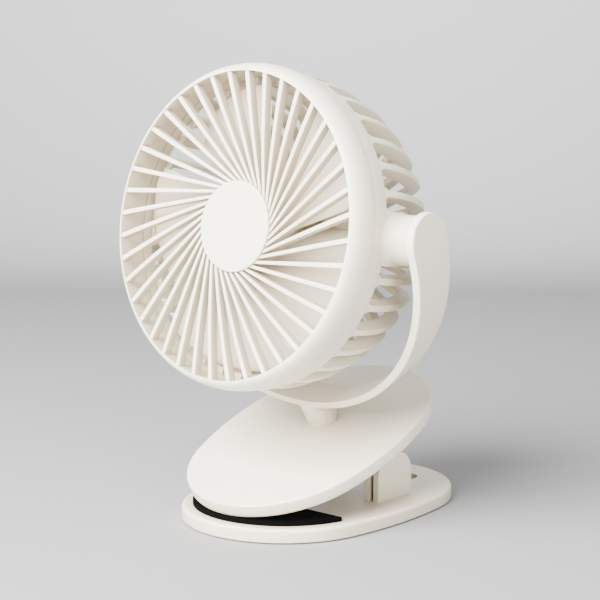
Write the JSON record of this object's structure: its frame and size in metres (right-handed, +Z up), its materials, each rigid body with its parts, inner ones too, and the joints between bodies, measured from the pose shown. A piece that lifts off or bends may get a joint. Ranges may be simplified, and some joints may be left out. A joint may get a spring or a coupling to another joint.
{
  "type": "clip fan",
  "caption": "Small round fan in a U-shaped yoke on a swivel post, standing on a sprung clip with rubber-lined jaws, with a spiral-spoked front grille and a finned rear cover.",
  "frame": {"origin": "on the floor under the middle of the base, at the underside of the foot pad", "axes": "+Z up; the fan faces -Y and the clip is long along Y, its jaws open towards -Y; +X is to the right of a viewer in front of the fan"},
  "size_m": [0.1634, 0.138, 0.1964],
  "materials": {
    "white_plastic": "fine satin moulded plastic, warm off-white",
    "black_rubber": "matt black rubber",
    "steel": "plain steel wire, pin and screws",
    "dark_plastic": "dark moulded plastic",
    "white_nylon": "unpolished nylon",
    "foil": "foil pouch",
    "board": "green solder-masked board",
    "lens": "frosted clear plastic",
    "bronze": "sintered bronze",
    "iron": "laminated iron"
  },
  "bodies": {
    "base": {"foot_pad": "black_rubber", "base_cover": "white_plastic", "base_shell": "white_plastic", "base_screws": "steel", "lower_jaw_pad": "black_rubber", "hinge_pin": "steel", "clip_spring": "steel"},
    "upper_jaw": {"jaw_cover": "white_plastic", "jaw_liner": "white_plastic", "upper_jaw_pad": "black_rubber", "jaw_screws": "steel", "swivel_post": "white_plastic"},
    "swivel_yoke": {"yoke": "white_plastic", "swivel_washer": "white_nylon", "swivel_screw": "steel"},
    "head": {"front_grille": "white_plastic", "grille_cap": "white_plastic", "rear_cover": "white_plastic", "pivot_washers": "white_nylon", "battery": "foil", "circuit_board": "board", "charging_port": "steel", "rear_cap": "white_plastic", "cap_screws": "steel", "led_lens": "lens", "stator": "iron", "shaft_bush": "bronze"},
    "rotor": {"impeller": "white_plastic", "rotor_ring": "iron", "motor_shaft": "steel"},
    "button": {"power_button": "white_plastic"}
  },
  "joints": [
    {"name": "clip_hinge", "type": "hinge", "parent": "base", "child": "upper_jaw", "pos_m": [0, 0.0123, 0.0163], "axis": [-1, 0, 0], "range_deg": [0, 30], "stiffness_Nm_per_rad": 0.6, "springref_deg": -51.57, "deforming": ["clip_spring"]},
    {"name": "yoke_swivel", "type": "hinge", "parent": "upper_jaw", "child": "swivel_yoke", "pos_m": [0, 0.00194, 0.0385], "axis": [0, -0.342, 0.9397], "continuous": true},
    {"name": "head_tilt", "type": "hinge", "parent": "swivel_yoke", "child": "head", "pos_m": [0, -0.02979, 0.1257], "axis": [1, 0, 0], "continuous": true},
    {"name": "impeller_spin", "type": "hinge", "parent": "head", "child": "rotor", "pos_m": [0, -0.02979, 0.1257], "axis": [0, -0.9898, 0.1426], "continuous": true},
    {"name": "button_press", "type": "slide", "parent": "head", "child": "button", "axis": [0, -0.9898, 0.1426], "range_m": [0, 0.0008], "stiffness_N_per_m": 600, "springref_m": -0.001}
  ]
}
